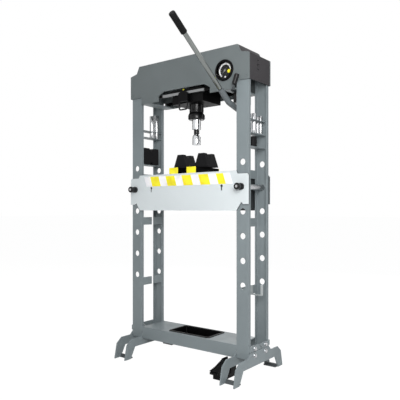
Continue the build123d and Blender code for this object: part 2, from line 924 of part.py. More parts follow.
with BuildPart() as lever_socket:
    with BuildLine(lever_plane) as socket_path:
        FilletPolyline((pivot_back, pivot_height), (bend_y, bend_z), socket_end, radius=lever_bend_radius)
    with BuildSketch(Plane(socket_path.wire() ^ 0)):
        Circle(socket_diameter / 2)
    sweep()
    with BuildSketch(facing_right(pump_centre - boss_width / 2)):
        with Locations((pivot_back, pivot_height)):
            Circle(lever_boss_diameter / 2)
    extrude(amount=boss_width)
    with BuildSketch(facing_right(pump_centre)):
        with Locations((pivot_back, pivot_height)):
            Circle(pivot_diameter / 2 + running_gap)
    extrude(amount=pump_width, both=True, mode=Mode.SUBTRACT)
    with BuildSketch(Plane(lever_bend_point + lever_aim * socket_length, z_dir=-lever_aim)):
        Circle(rod_diameter / 2)
    extrude(amount=rod_depth, mode=Mode.SUBTRACT)
save(lever_socket.part, "lever_socket")

rod_start = lever_bend_point + lever_aim * (socket_length - rod_depth)
with BuildPart() as lever_rod:
    with BuildSketch(Plane(rod_start, z_dir=lever_aim)):
        Circle(rod_diameter / 2)
    extrude(amount=rod_depth + rod_length)
save(lever_rod.part, "lever_rod")

grip_start = rod_start + lever_aim * (rod_depth + rod_length - grip_cover)
with BuildPart() as lever_grip:
    with BuildSketch(Plane(grip_start, z_dir=lever_aim)):
        Circle(grip_diameter / 2)
    extrude(amount=grip_length)
    fillet(lever_grip.faces().sort_by(Axis.Y)[0].edges(), grip_round)
    with BuildSketch(Plane(grip_start, z_dir=lever_aim)):
        Circle(rod_diameter / 2)
    extrude(amount=grip_cover, mode=Mode.SUBTRACT)
save(lever_grip.part, "lever_grip")

# Plunger of the hand pump, standing just over the socket and running up into the pump body
plunger_y = pivot_back - plunger_forward
socket_slope = lever_bend_rise / lever_bend_forward
socket_over = socket_diameter / 2 * math.sqrt(1 + socket_slope**2) + plunger_diameter / 2 * socket_slope
plunger_bottom = pivot_height + plunger_forward * socket_slope + socket_over + plunger_gap
with BuildPart() as pump_plunger:
    with BuildSketch(Plane.XY.offset(plunger_bottom)):
        with Locations((pump_centre, plunger_y)):
            Circle(plunger_diameter / 2)
    extrude(amount=plunger_height)
save(pump_plunger.part, "pump_plunger")

# Valve lever in front of the head: block and spindle under the plate, stem and grip standing up
valve_back = -pump_length / 2
with BuildPart() as valve_block:
    with BuildSketch(facing_front(valve_back)):
        with Locations((valve_x, valve_height)):
            Rectangle(valve_block_size, valve_block_size)
    extrude(amount=valve_block_size)
    with BuildSketch(facing_front(valve_back)):
        with Locations((valve_x, valve_height)):
            Circle(spindle_diameter / 2 + running_gap)
    extrude(amount=valve_block_size, mode=Mode.SUBTRACT)
save(valve_block.part, "valve_block")

valve_lean = math.radians(valve_tilt)
valve_aim = Vector(math.sin(valve_lean), 0, math.cos(valve_lean))
valve_foot = Vector(valve_x, -valve_front, valve_height)
with BuildPart() as valve_stem:
    with BuildSketch(facing_front(valve_back - slide_gap)):
        with Locations((valve_x, valve_height)):
            Circle(spindle_diameter / 2)
    extrude(amount=valve_front + valve_back + spindle_diameter / 2)
    with BuildSketch(Plane(valve_foot, z_dir=valve_aim)):
        Circle(stem_diameter / 2)
    extrude(amount=stem_length)
save(valve_stem.part, "valve_stem")

with BuildPart() as valve_grip:
    with BuildSketch(Plane(valve_foot + valve_aim * stem_length, z_dir=valve_aim)):
        Circle(valve_grip_diameter / 2)
    extrude(amount=valve_grip_length)
    fillet(valve_grip.edges().filter_by(GeomType.CIRCLE), valve_grip_round)
save(valve_grip.part, "valve_grip")

# Pressure gauge let into the head plate: cup-shaped case with a bezel, dial, needle on a hub and a glass
gauge_plane = Plane.XZ.offset(-head_front).shift_origin((gauge_x, head_front, gauge_height))
gauge_bore = gauge_diameter / 2 - gauge_bezel
dial_base = gauge_back_wall - gauge_body_depth
with BuildPart() as gauge_case:
    with BuildSketch(gauge_plane):
        Circle(gauge_diameter / 2)
    extrude(amount=gauge_bezel_depth)
    chamfer(gauge_case.faces().sort_by(Axis.Y)[0].edges(), gauge_edge)
    with BuildSketch(gauge_plane):
        Circle(gauge_body_diameter / 2)
    extrude(amount=-gauge_body_depth)
    with BuildSketch(gauge_plane.offset(dial_base)):
        Circle(gauge_bore)
    extrude(amount=gauge_body_depth, mode=Mode.SUBTRACT)
save(gauge_case.part, "gauge_case")

with BuildPart() as gauge_dial:
    with BuildSketch(gauge_plane.offset(dial_base)):
        Circle(gauge_bore)
        Circle(needle_shaft_diameter / 2 + running_gap, mode=Mode.SUBTRACT)
    extrude(amount=dial_wall)
save(gauge_dial.part, "gauge_dial")

needle_base = dial_base + dial_wall + needle_stand
with BuildPart() as gauge_needle:
    with BuildSketch(gauge_plane.offset(dial_base + slide_gap)):
        Circle(needle_shaft_diameter / 2)
    extrude(amount=needle_base - dial_base - slide_gap)
    with BuildSketch(gauge_plane.offset(needle_base)):
        Circle(needle_hub_diameter / 2)
    extrude(amount=needle_wall * 2)
    with BuildSketch(gauge_plane.offset(needle_base)):
        Polygon(
            (-needle_tail, -needle_width / 2),
            (0, -needle_width / 2),
            (needle_length, -needle_point / 2),
            (needle_length, needle_point / 2),
            (0, needle_width / 2),
            (-needle_tail, needle_width / 2),
            rotation=needle_rest_angle,
            align=None,
        )
    extrude(amount=needle_wall)
save(gauge_needle.part, "gauge_needle")

with BuildPart() as gauge_glass:
    with BuildSketch(gauge_plane.offset(gauge_bezel_depth - glass_recess - glass_wall)):
        Circle(gauge_bore)
    extrude(amount=glass_wall)
save(gauge_glass.part, "gauge_glass")

# Foot pump: a base with two cheeks and a bracket to the foot, and a hinged pedal with a grooved tread
base_middle = -(pedal_base_front + pedal_base_back) / 2
pedal_pivot_y = -pedal_pivot_back
with BuildPart() as pedal_base:
    with BuildSketch(Plane.XY):
        with Locations((pedal_x, base_middle)):
            Rectangle(pedal_width, pedal_base_front - pedal_base_back)
    extrude(amount=pedal_base_height)
    with BuildSketch(Plane.XY.offset(pedal_base_height)):
        with Locations((pedal_x, pedal_pivot_y)):
            with GridLocations(pedal_width - pedal_cheek_wall, 0, 2, 1):
                Rectangle(pedal_cheek_wall, pedal_cheek_length)
    extrude(amount=pedal_cheek_height - pedal_base_height)
    with BuildSketch(facing_right(pedal_x)):
        with Locations((pedal_pivot_y, pedal_pivot_height)):
            Circle(pedal_pivot_diameter / 2)
    extrude(amount=pedal_width, both=True, mode=Mode.SUBTRACT)
    bracket_start = pedal_x + pedal_width / 2
    bracket_end = post_inner - foot_wall
    with BuildSketch(facing_right(bracket_start)):
        with Locations((pedal_pivot_y, pedal_cheek_height - pedal_bracket_height / 2)):
            Rectangle(pedal_cheek_length, pedal_bracket_height)
    extrude(amount=bracket_end - bracket_start)
save(pedal_base.part, "pedal_base")

with BuildPart() as pedal_pivot_pin:
    with BuildSketch(facing_right(pedal_x - pedal_width / 2)):
        with Locations((pedal_pivot_y, pedal_pivot_height)):
            Circle(pedal_pivot_diameter / 2)
    extrude(amount=pedal_width)
save(pedal_pivot_pin.part, "pedal_pivot_pin")

pedal_inner = pedal_width / 2 - pedal_cheek_wall - pedal_side_gap
pedal_top_y = -pedal_top_forward
pedal_tip_y = -pedal_tip_forward
with BuildPart() as foot_pedal:
    with BuildSketch(facing_right(pedal_x - pedal_inner)):
        with BuildLine():
            Polyline(
                (pedal_pivot_y, pedal_pivot_height),
                (pedal_top_y, pedal_top_height),
                (pedal_tip_y, pedal_tip_height),
                (pedal_tip_y, pedal_tip_height - pedal_wall),
                (pedal_top_y - pedal_wall, pedal_top_height - 2 * pedal_wall),
                (pedal_pivot_y - pedal_wall, pedal_pivot_height - pedal_wall),
                close=True,
            )
        make_face()
        with Locations((pedal_pivot_y, pedal_pivot_height)):
            Circle(pedal_pivot_diameter)
            Circle(pedal_pivot_diameter / 2 + running_gap, mode=Mode.SUBTRACT)
    extrude(amount=2 * pedal_inner)
save(foot_pedal.part, "foot_pedal")

tread_slope = math.atan2(pedal_top_height - pedal_tip_height, pedal_tip_forward - pedal_top_forward)
tread_along = Vector(0, -math.cos(tread_slope), -math.sin(tread_slope))
tread_up = Vector(0, -math.sin(tread_slope), math.cos(tread_slope))
tread_middle = Vector(pedal_x, pedal_tip_y, pedal_tip_height) - tread_along * (tread_length / 2 + tread_inset)
tread_plane = Plane(tread_middle, x_dir=(1, 0, 0), z_dir=tread_up)
tread_pitch = tread_length / (tread_groove_count + 1)
with BuildPart() as pedal_tread:
    with BuildSketch(tread_plane):
        Trapezoid(2 * (pedal_inner + pedal_flare), tread_length, math.degrees(math.pi / 2 - tread_slope / 2))
    extrude(amount=tread_wall)
    with BuildSketch(tread_plane.offset(tread_wall)):
        with GridLocations(0, tread_pitch, 1, tread_groove_count):
            Rectangle(4 * pedal_inner, tread_groove)
    extrude(amount=-tread_wall / 2, mode=Mode.SUBTRACT)
save(pedal_tread.part, "pedal_tread")

# Tool racks between the front and back posts, with mandrels that stand in them
rack_span = frame_depth - 2 * post_wall
rack_x = post_x
rack_sets = ((-1, left_rack_levels, left_mandrels), (1, right_rack_levels, right_mandrels))
with BuildPart() as tool_racks:
    for side, levels, mandrel_set in rack_sets:
        for level in levels:
            with BuildSketch(Plane.XY.offset(level)):
                with Locations((side * rack_x, 0)):
                    Rectangle(rack_width, rack_span)
            extrude(amount=-rack_wall)
        with BuildSketch(Plane.XY.offset(levels[0])):
            for place_share, diameter, height in mandrel_set:
                with Locations((side * rack_x, place_share * rack_span / 2)):
                    Circle(diameter / 2 + rack_fit)
        extrude(amount=-rack_wall, mode=Mode.SUBTRACT)
save(tool_racks.part, "tool_racks")

with BuildPart() as mandrels:
    for side, levels, mandrel_set in rack_sets:
        for place_share, diameter, height in mandrel_set:
            with BuildSketch(Plane.XY.offset(levels[1])):
                with Locations((side * rack_x, place_share * rack_span / 2)):
                    Circle(diameter / 2)
            extrude(amount=height)
save(mandrels.part, "mandrels")

# On the lowest plates: spare notched blocks on the left, a sleeve on the right
block_level = left_rack_levels[2]
sleeve_level = right_rack_levels[2]
block_top = block_level + store_block_height
with BuildPart() as stored_tools:
    with BuildSketch(Plane.XY.offset(block_level)):
        with Locations((-rack_x, 0)):
            with GridLocations(store_block_width + store_block_gap, 0, 2, 1):
                Rectangle(store_block_width, store_block_length)
    extrude(amount=store_block_height)
    with BuildSketch(facing_right(-rack_x)):
        for level, tip in ((block_top, -store_block_notch), (block_level, store_block_notch)):
            Polygon((-store_block_notch, level), (store_block_notch, level), (0, level + tip), align=None)
    extrude(amount=rack_width, both=True, mode=Mode.SUBTRACT)
    with BuildSketch(Plane.XY.offset(sleeve_level)):
        with Locations((rack_x, 0)):
            Circle(sleeve_diameter / 2)
            Circle(sleeve_bore / 2, mode=Mode.SUBTRACT)
    extrude(amount=sleeve_height)
save(stored_tools.part, "stored_tools")

# Bent hook on the lower right strap of the back post
hook_y = strap_slit / 2 + hook_plate / 2
hook_x = post_inner + post_wall
hook_low = strap_heights[-1] - hook_plate / 2
with BuildPart() as hang_hook:
    with BuildSketch(facing_front(hook_y + hook_width / 2)):
        with BuildLine():
            Polyline(
                (hook_x, hook_low + hook_plate),
                (hook_x, hook_low),
                (hook_x + hook_reach, hook_low),
                (hook_x + hook_reach, hook_low + hook_rise),
                (hook_x + hook_reach - hook_wall, hook_low + hook_rise),
                (hook_x + hook_reach - hook_wall, hook_low + hook_wall),
                (hook_x + hook_wall, hook_low + hook_wall),
                (hook_x + hook_wall, hook_low + hook_plate),
                close=True,
            )
        make_face()
    extrude(amount=hook_width)
save(hang_hook.part, "hang_hook")
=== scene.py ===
# %% [markdown]
# # A workshop press
# The frame, table, ram and pump come from the CAD model. This lesson gives them paint, chrome, rubber and
# light, draws the foot plates with their dip, and adds the small things that a shop press carries: dial
# marks, grip ribs, weld beads.

# %% Load the frame
import math

import bmesh
import bpy
from mathutils import Matrix, Vector


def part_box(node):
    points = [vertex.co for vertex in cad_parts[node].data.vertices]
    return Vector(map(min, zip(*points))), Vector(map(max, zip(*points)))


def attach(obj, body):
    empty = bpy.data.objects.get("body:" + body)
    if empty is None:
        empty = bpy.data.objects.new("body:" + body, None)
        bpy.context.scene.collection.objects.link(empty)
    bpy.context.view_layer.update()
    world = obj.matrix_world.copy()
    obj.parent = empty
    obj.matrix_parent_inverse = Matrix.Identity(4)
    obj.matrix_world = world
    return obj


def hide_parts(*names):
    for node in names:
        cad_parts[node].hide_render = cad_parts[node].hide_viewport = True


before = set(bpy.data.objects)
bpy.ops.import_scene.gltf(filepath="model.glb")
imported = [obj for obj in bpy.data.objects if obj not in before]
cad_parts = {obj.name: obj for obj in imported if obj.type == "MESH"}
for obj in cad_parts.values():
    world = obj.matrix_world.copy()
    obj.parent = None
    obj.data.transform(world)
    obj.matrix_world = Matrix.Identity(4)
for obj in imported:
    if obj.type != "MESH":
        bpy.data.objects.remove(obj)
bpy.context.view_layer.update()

# %% [markdown]
# ## The camera
# The press was photographed level, a little below half its height, from its right front. A camera that was
# fitted to the posts and the pin holes gives this place, this turn and this lens.

# %% Camera
PHOTO_TURN = 37.34
CAMERA_PLACE = (1.95077, -2.52178, 0.96116)
CAMERA_LENS = 45.5
CAMERA_SHIFT = 0.0225
SENSOR_WIDTH = 36
UPRIGHT = math.radians(90)

camera_data = bpy.data.cameras.new("photo_camera")
camera_data.lens = CAMERA_LENS
camera_data.sensor_width = SENSOR_WIDTH
camera_data.shift_y = CAMERA_SHIFT
camera = bpy.data.objects.new("photo_camera", camera_data)
camera.location = CAMERA_PLACE
camera.rotation_euler = (UPRIGHT, 0, math.radians(PHOTO_TURN))
bpy.context.collection.objects.link(camera)
bpy.context.scene.camera = camera
bpy.context.scene.view_settings.view_transform = "Standard"
print("camera at", CAMERA_PLACE)

# %% [markdown]
# ## Floor and light
# A product shot has no horizon. The floor and the world look white to the camera and in reflections, but
# they light the press at a plain level. The floor keeps a soft contact shadow.

# %% World


def seen_directly(nodes, links):
    """One for rays that should meet a white background: from the camera, a mirror or a glass."""
    path = nodes.new("ShaderNodeLightPath")
    first = nodes.new("ShaderNodeMath")
    first.operation = "MAXIMUM"
    links.new(path.outputs["Is Camera Ray"], first.inputs[0])
    links.new(path.outputs["Is Glossy Ray"], first.inputs[1])
    both = nodes.new("ShaderNodeMath")
    both.operation = "MAXIMUM"
    links.new(first.outputs[0], both.inputs[0])
    links.new(path.outputs["Is Transmission Ray"], both.inputs[1])
    return both.outputs[0]


SKY_LEVEL = 0.22
SKY_TINT = (0.95, 0.98, 1.0, 1)
WHITE = (1, 1, 1, 1)

world = bpy.data.worlds.new("studio")
bpy.context.scene.world = world
world.use_nodes = True
sky_nodes = world.node_tree.nodes
sky_links = world.node_tree.links
sky_nodes.clear()
sky_out = sky_nodes.new("ShaderNodeOutputWorld")
sky_light = sky_nodes.new("ShaderNodeBackground")
sky_light.inputs["Color"].default_value = SKY_TINT
sky_light.inputs["Strength"].default_value = SKY_LEVEL
sky_white = sky_nodes.new("ShaderNodeBackground")
sky_white.inputs["Color"].default_value = WHITE
sky_white.inputs["Strength"].default_value = 1.0
sky_mix = sky_nodes.new("ShaderNodeMixShader")
sky_links.new(seen_directly(sky_nodes, sky_links), sky_mix.inputs[0])
sky_links.new(sky_light.outputs[0], sky_mix.inputs[1])
sky_links.new(sky_white.outputs[0], sky_mix.inputs[2])
sky_links.new(sky_mix.outputs[0], sky_out.inputs["Surface"])
print("world light", SKY_LEVEL)

# %% [markdown]
# The floor mixes a matt grey, which takes the shadow, with a white glow that the camera and mirrors see.

# %% Floor
FLOOR_SIZE = 60
FLOOR_TONE = (0.86, 0.86, 0.86, 1)
FLOOR_GLOW = 0.86
FLOOR_WHITE = 1.12

floor_mesh = bpy.data.meshes.new("floor")
sheet = bmesh.new()
bmesh.ops.create_grid(sheet, x_segments=1, y_segments=1, size=FLOOR_SIZE)
sheet.to_mesh(floor_mesh)
sheet.free()
floor = bpy.data.objects.new("floor", floor_mesh)
bpy.context.collection.objects.link(floor)

floor_paint = bpy.data.materials.new("pale_floor")
floor_paint.use_nodes = True
floor_nodes = floor_paint.node_tree.nodes
floor_links = floor_paint.node_tree.links
floor_nodes.clear()
floor_out = floor_nodes.new("ShaderNodeOutputMaterial")
floor_diffuse = floor_nodes.new("ShaderNodeBsdfDiffuse")
floor_diffuse.inputs["Color"].default_value = FLOOR_TONE
floor_glow = floor_nodes.new("ShaderNodeEmission")
floor_glow.inputs["Strength"].default_value = FLOOR_WHITE
floor_share = floor_nodes.new("ShaderNodeMath")
floor_share.operation = "MULTIPLY"
floor_share.inputs[1].default_value = FLOOR_GLOW
floor_mix = floor_nodes.new("ShaderNodeMixShader")
floor_links.new(seen_directly(floor_nodes, floor_links), floor_share.inputs[0])
floor_links.new(floor_share.outputs[0], floor_mix.inputs[0])
floor_links.new(floor_diffuse.outputs[0], floor_mix.inputs[1])
floor_links.new(floor_glow.outputs[0], floor_mix.inputs[2])
floor_links.new(floor_mix.outputs[0], floor_out.inputs["Surface"])
floor_mesh.materials.append(floor_paint)
print("floor laid")

# %% [markdown]
# A key lamp stands beside the camera. Weaker lamps light the top and the right side, and one lights the back.

# %% Studio lamps


def soft_box(name, place, aim, size, power):
    """A square soft box at a place, aimed at a point."""
    lamp = bpy.data.lights.new(name, "AREA")
    lamp.shape = "SQUARE"
    lamp.size = size
    lamp.energy = power
    holder = bpy.data.objects.new(name, lamp)
    holder.location = place
    holder.rotation_euler = (Vector(aim) - Vector(place)).to_track_quat("-Z", "Y").to_euler()
    bpy.context.collection.objects.link(holder)


soft_box("key_box", (1.9, -2.1, 1.8), (0.3, 0, 0.9), 1.4, 60)
soft_box("top_box", (0.4, -0.6, 4.2), (0, 0, 0.8), 2.4, 24)
soft_box("side_box", (3.2, -0.4, 0.5), (0.4, 0, 0.2), 1.4, 5)
soft_box("back_box", (-0.9, 4.0, 2.4), (0, 0, 0.95), 2.2, 84)
print("four soft boxes")

# %% [markdown]
# Chrome in an all-white room has no shape. A photographer stands black cards beside the camera, so that a
# dark band runs down each round bright piece. The cards show in reflections only.

# %% Black cards
CARD_DISTANCE = 3.4
CARD_HEIGHT = 3.2
CARD_TONE = (0.004, 0.004, 0.004, 1)
CARD_UNSEEN_BY = ("visible_camera", "visible_diffuse", "visible_shadow", "visible_transmission")

card_black = bpy.data.materials.new("card_black")
card_black.use_nodes = True
card_shader = card_black.node_tree.nodes["Principled BSDF"]
card_shader.inputs["Base Color"].default_value = CARD_TONE
card_shader.inputs["Specular IOR Level"].default_value = 0.0


def black_card(name, azimuth, width):
    """An upright card at an azimuth round the press, seen by mirror-like surfaces only."""
    turn = math.radians(azimuth)
    sheet = bmesh.new()
    bmesh.ops.create_grid(sheet, x_segments=1, y_segments=1, size=0.5)
    bmesh.ops.scale(sheet, vec=(width, CARD_HEIGHT, 1), verts=sheet.verts)
    stand = Matrix.Rotation(UPRIGHT, 3, "X")
    face_press = Matrix.Rotation(turn + UPRIGHT, 3, "Z")
    bmesh.ops.rotate(sheet, cent=(0, 0, 0), matrix=stand, verts=sheet.verts)
    bmesh.ops.rotate(sheet, cent=(0, 0, 0), matrix=face_press, verts=sheet.verts)
    place = (CARD_DISTANCE * math.cos(turn), CARD_DISTANCE * math.sin(turn), CARD_HEIGHT / 2)
    bmesh.ops.translate(sheet, vec=place, verts=sheet.verts)
    mesh = bpy.data.meshes.new(name)
    sheet.to_mesh(mesh)
    sheet.free()
    mesh.materials.append(card_black)
    card = bpy.data.objects.new(name, mesh)
    bpy.context.collection.objects.link(card)
    for ray in CARD_UNSEEN_BY:
        setattr(card, ray, False)


black_card("right_card", -22, 2.2)
black_card("back_card", 82, 3.6)
black_card("left_card", 172, 3.6)
print("three black cards")

# %% [markdown]
# ## Painted steel
# The press is sprayed with satin enamel. Sprayed paint is never one flat colour: it has an orange-peel
# skin, a slow drift of tone and a gloss that changes a little. One function makes each enamel on the press.

# %% Enamel


def tone(r, g, b):
    """A colour given on a 0 to 255 scale, made linear for a shader."""
    steps = []
    for value in (r, g, b):
        share = value / 255
        steps.append(share / 12.92 if share <= 0.04045 else ((share + 0.055) / 1.055) ** 2.4)
    return steps


def new_finish(name):
    """A new material with a Principled shader: the material, its shader and its Object coordinates."""
    finish = bpy.data.materials.new(name)
    finish.use_nodes = True
    shader = finish.node_tree.nodes["Principled BSDF"]
    place = finish.node_tree.nodes.new("ShaderNodeTexCoord").outputs["Object"]
    return finish, shader, place


def noise(finish, place, scale, detail=3.0, stretch=None):
    """A cloud of noise on the piece, stretched along an axis when a Mapping is asked for."""
    tree = finish.node_tree
    if stretch:
        turn = tree.nodes.new("ShaderNodeMapping")
        turn.inputs["Scale"].default_value = stretch
        tree.links.new(place, turn.inputs["Vector"])
        place = turn.outputs["Vector"]
    cloud = tree.nodes.new("ShaderNodeTexNoise")
    cloud.inputs["Scale"].default_value = scale
    cloud.inputs["Detail"].default_value = detail
    tree.links.new(place, cloud.inputs["Vector"])
    return cloud.outputs["Fac"]


def spread(finish, value, low, high, start=0.3, end=0.7):
    """Noise stretched to run from low to high."""
    tree = finish.node_tree
    ruler = tree.nodes.new("ShaderNodeMapRange")
    ruler.inputs["From Min"].default_value = start
    ruler.inputs["From Max"].default_value = end
    ruler.inputs["To Min"].default_value = low
    ruler.inputs["To Max"].default_value = high
    tree.links.new(value, ruler.inputs["Value"])
    return ruler.outputs["Result"]


def blend_tones(finish, amount, first, second):
    """A colour between two tones, by an amount from a texture."""
    tree = finish.node_tree
    mix = tree.nodes.new("ShaderNodeMix")
    mix.data_type = "RGBA"
    mix.inputs["A"].default_value = (*first, 1)
    mix.inputs["B"].default_value = (*second, 1)
    tree.links.new(amount, mix.inputs["Factor"])
    return mix.outputs["Result"]


def skin(finish, shader, height, strength, depth):
    """A fine relief from a texture."""
    tree = finish.node_tree
    bump = tree.nodes.new("ShaderNodeBump")
    bump.inputs["Strength"].default_value = strength
    bump.inputs["Distance"].default_value = depth
    tree.links.new(height, bump.inputs["Height"])
    tree.links.new(bump.outputs["Normal"], shader.inputs["Normal"])


PEEL_SCALE = 420
PEEL_DEPTH = 0.0004
DRIFT_SCALE = 3.2
PATCH_SCALE = DRIFT_SCALE * 5
GLOSS_DROP = 0.06
GLOSS_RISE = 0.08


def enamel(name, colour, gloss, drift=0.07, peel=0.12, shine=0.5):
    """Sprayed paint: a slow drift of tone, an orange-peel skin and an uneven gloss."""
    finish, shader, place = new_finish(name)
    shader.inputs["Specular IOR Level"].default_value = shine
    light = [min(1, c * (1 + drift)) for c in colour]
    dark = [c * (1 - drift) for c in colour]
    slow = spread(finish, noise(finish, place, DRIFT_SCALE, 4), 0, 1)
    finish.node_tree.links.new(blend_tones(finish, slow, dark, light), shader.inputs["Base Color"])
    patchy = spread(finish, noise(finish, place, PATCH_SCALE), gloss - GLOSS_DROP, gloss + GLOSS_RISE)
    finish.node_tree.links.new(patchy, shader.inputs["Roughness"])
    skin(finish, shader, noise(finish, place, PEEL_SCALE, 2), peel, PEEL_DEPTH)
    return finish


frame_enamel = enamel("frame_enamel", tone(136, 145, 148), 0.42, shine=0.25)
# The head plates and screws get a darker copy of the frame's paint: painted shade, because the head is lit
# less than the posts.
head_enamel_painted_shade = enamel("head_enamel_painted_shade", tone(112, 119, 120), 0.46, shine=0.3)
# The end cover is dark partly from its own dark paint and partly from painted shade.
cover_enamel_and_painted_shade = enamel("cover_enamel_and_painted_shade", tone(66, 64, 66), 0.48, shine=0.15)
# The soles get a darker copy of the grey enamel: painted shade.
sole_enamel_painted_shade = enamel("sole_enamel_painted_shade", tone(84, 88, 90), 0.46, shine=0.3)
hook_enamel = enamel("hook_enamel", tone(188, 194, 194), 0.42)
table_enamel = enamel("table_enamel", tone(228, 235, 237), 0.40, drift=0.02)
black_enamel = enamel("black_enamel", tone(12, 12, 13), 0.20, drift=0.25, shine=0.3)
black_satin = enamel("black_satin", tone(7, 7, 8), 0.48, drift=0.25, shine=0.10)
socket_enamel = enamel("socket_enamel", tone(98, 104, 107), 0.38)
block_iron = enamel("block_iron", tone(18, 18, 20), 0.55, drift=0.25, peel=0.35, shine=0.15)
print("ten enamels")

# %% [markdown]
# ## Bright metal
# Chrome on the ram and the lever is almost a mirror. Turned pins and bolts show fine rings from the lathe,
# so their noise is squeezed along one axis.

# %% Chrome and steel
LINE_SCALE = 60
LINE_DEPTH = 0.0002
WORN_SHARE = 0.86
BRIGHT_SMOOTH = 0.7
BRIGHT_ROUGH = 1.5


def bright(name, colour, gloss, rings, grain=0.1):
    """Bare metal with lathe or grinding lines that run across the squeezed axis."""
    finish, shader, place = new_finish(name)
    shader.inputs["Metallic"].default_value = 1.0
    lines = noise(finish, place, LINE_SCALE, 2, stretch=rings)
    dark = [c * WORN_SHARE for c in colour]
    worn = spread(finish, lines, 0, 1)
    finish.node_tree.links.new(blend_tones(finish, worn, dark, colour), shader.inputs["Base Color"])
    dull = spread(finish, lines, gloss * BRIGHT_SMOOTH, gloss * BRIGHT_ROUGH)
    finish.node_tree.links.new(dull, shader.inputs["Roughness"])
    skin(finish, shader, lines, grain, LINE_DEPTH)
    return finish


ram_chrome = bright("ram_chrome", tone(222, 224, 226), 0.09, (1, 1, 18), 0.04)
lever_chrome = bright("lever_chrome", tone(136, 140, 138), 0.13, (1, 4, 4), 0.04)
turned_steel = bright("turned_steel", tone(196, 197, 199), 0.26, (1, 14, 1), 0.08)
mandrel_steel = bright("mandrel_steel", tone(206, 208, 210), 0.18, (1, 1, 16), 0.06)
dark_steel = bright("dark_steel", tone(66, 68, 70), 0.34, (1, 1, 14), 0.08)
rail_steel = bright("rail_steel", tone(158, 160, 161), 0.55, (1, 22, 22), 0.10)
print("six bright metals")

# %% [markdown]
# The rails are bright only over a middle stretch. Past that their finish carries painted shade, the shadow
# at the ends of the window, so it changes along X, with a soft end to the bright stretch. The inside of the
# table
# carries painted shade: its enamel turns dark between the two plates and on half of their cut edges, so the
# keyholes show as holes.

# %% Painted shade on the rail ends and inside the table
LIT_MIDDLE = -0.023
LIT_HALF = 0.160
SHADE_FADE = 0.008
CUT_NEAR = 0.50
CUT_FAR = 0.62
RAIL_END_SHADE = tone(22, 22, 22)
TABLE_INSIDE_SHADE = tone(60, 64, 66)


def paint_shade(finish, axis, middle, start, end, colour):
    """Paints shade into a finish: turns it to a dark colour as the distance from a middle, along an axis,
    goes from start to end.
    """
    tree = finish.node_tree
    shader = tree.nodes["Principled BSDF"]
    axes = tree.nodes.new("ShaderNodeSeparateXYZ")
    tree.links.new(tree.nodes["Texture Coordinate"].outputs["Object"], axes.inputs[0])
    shift = tree.nodes.new("ShaderNodeMath")
    shift.operation = "SUBTRACT"
    shift.inputs[1].default_value = middle
    tree.links.new(axes.outputs[axis], shift.inputs[0])
    reach = tree.nodes.new("ShaderNodeMath")
    reach.operation = "ABSOLUTE"
    tree.links.new(shift.outputs[0], reach.inputs[0])
    amount = spread(finish, reach.outputs[0], 0, 1, start, end)
    unshaded = shader.inputs["Base Color"].links[0].from_socket
    mix = tree.nodes.new("ShaderNodeMix")
    mix.data_type = "RGBA"
    mix.inputs["B"].default_value = (*colour, 1)
    tree.links.new(amount, mix.inputs["Factor"])
    tree.links.new(unshaded, mix.inputs["A"])
    tree.links.new(mix.outputs["Result"], shader.inputs["Base Color"])


# Painted shade: the rail ends turn dark, for the shadow at the ends of the window.
paint_shade(rail_steel, "X", LIT_MIDDLE, LIT_HALF, LIT_HALF + SHADE_FADE, RAIL_END_SHADE)

front_outer, front_inner = (corner.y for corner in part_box("table_front_plate"))
back_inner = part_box("table_back_plate")[0].y
table_middle = (front_inner + back_inner) / 2
table_half = (back_inner - front_inner) / 2
table_wall = front_inner - front_outer
unshaded_from = table_half + table_wall * CUT_FAR
dark_from = table_half + table_wall * CUT_NEAR
# Painted shade: the table's inside and the inner half of its plates' cut edges turn dark, for the shadow
# inside the table.
paint_shade(table_enamel, "Y", table_middle, unshaded_from, dark_from, TABLE_INSIDE_SHADE)
print("bright run", 2 * LIT_HALF, "table inside", round(2 * table_half, 4))

# %% [markdown]
# ## Plastic, rubber, tape and glass
# Moulded knobs have a fine spark-eroded grain. Rubber is duller. The tape is a smooth film with a faint
# wrinkle, and the gauge glass is clear.

# %% Soft finishes
DUST_SCALE = 22
DUST_SHARE = 1.35
DUST_LIFT = 0.004
GRAIN_DEPTH = 0.0003
GRAIN_DROP = 0.07
GRAIN_RISE = 0.09


def moulded(name, colour, gloss, grain_scale, grain, shine=0.5):
    """Moulded plastic or rubber: fine grain in the relief, a dusty drift in the tone."""
    finish, shader, place = new_finish(name)
    shader.inputs["Specular IOR Level"].default_value = shine
    dusty = [c * DUST_SHARE + DUST_LIFT for c in colour]
    slow = spread(finish, noise(finish, place, DUST_SCALE, 4), 0, 1)
    finish.node_tree.links.new(blend_tones(finish, slow, colour, dusty), shader.inputs["Base Color"])
    fine = noise(finish, place, grain_scale, 2)
    dull = spread(finish, fine, gloss - GRAIN_DROP, gloss + GRAIN_RISE)
    finish.node_tree.links.new(dull, shader.inputs["Roughness"])
    skin(finish, shader, fine, grain, GRAIN_DEPTH)
    return finish


knob_plastic = moulded("knob_plastic", tone(12, 12, 14), 0.30, 900, 0.25, shine=0.3)
grip_rubber = moulded("grip_rubber", tone(9, 9, 10), 0.55, 700, 0.4, shine=0.15)
dial_black = moulded("dial_black", tone(14, 14, 15), 0.5, 1200, 0.1)
dial_white = moulded("dial_white", tone(240, 240, 240), 0.5, 1200, 0.05)
needle_gray = moulded("needle_gray", tone(112, 112, 112), 0.5, 1200, 0.05)
stripe_yellow = moulded("stripe_yellow", tone(248, 234, 40), 0.34, 160, 0.06)
field_white = moulded("field_white", tone(250, 249, 252), 0.34, 160, 0.06)

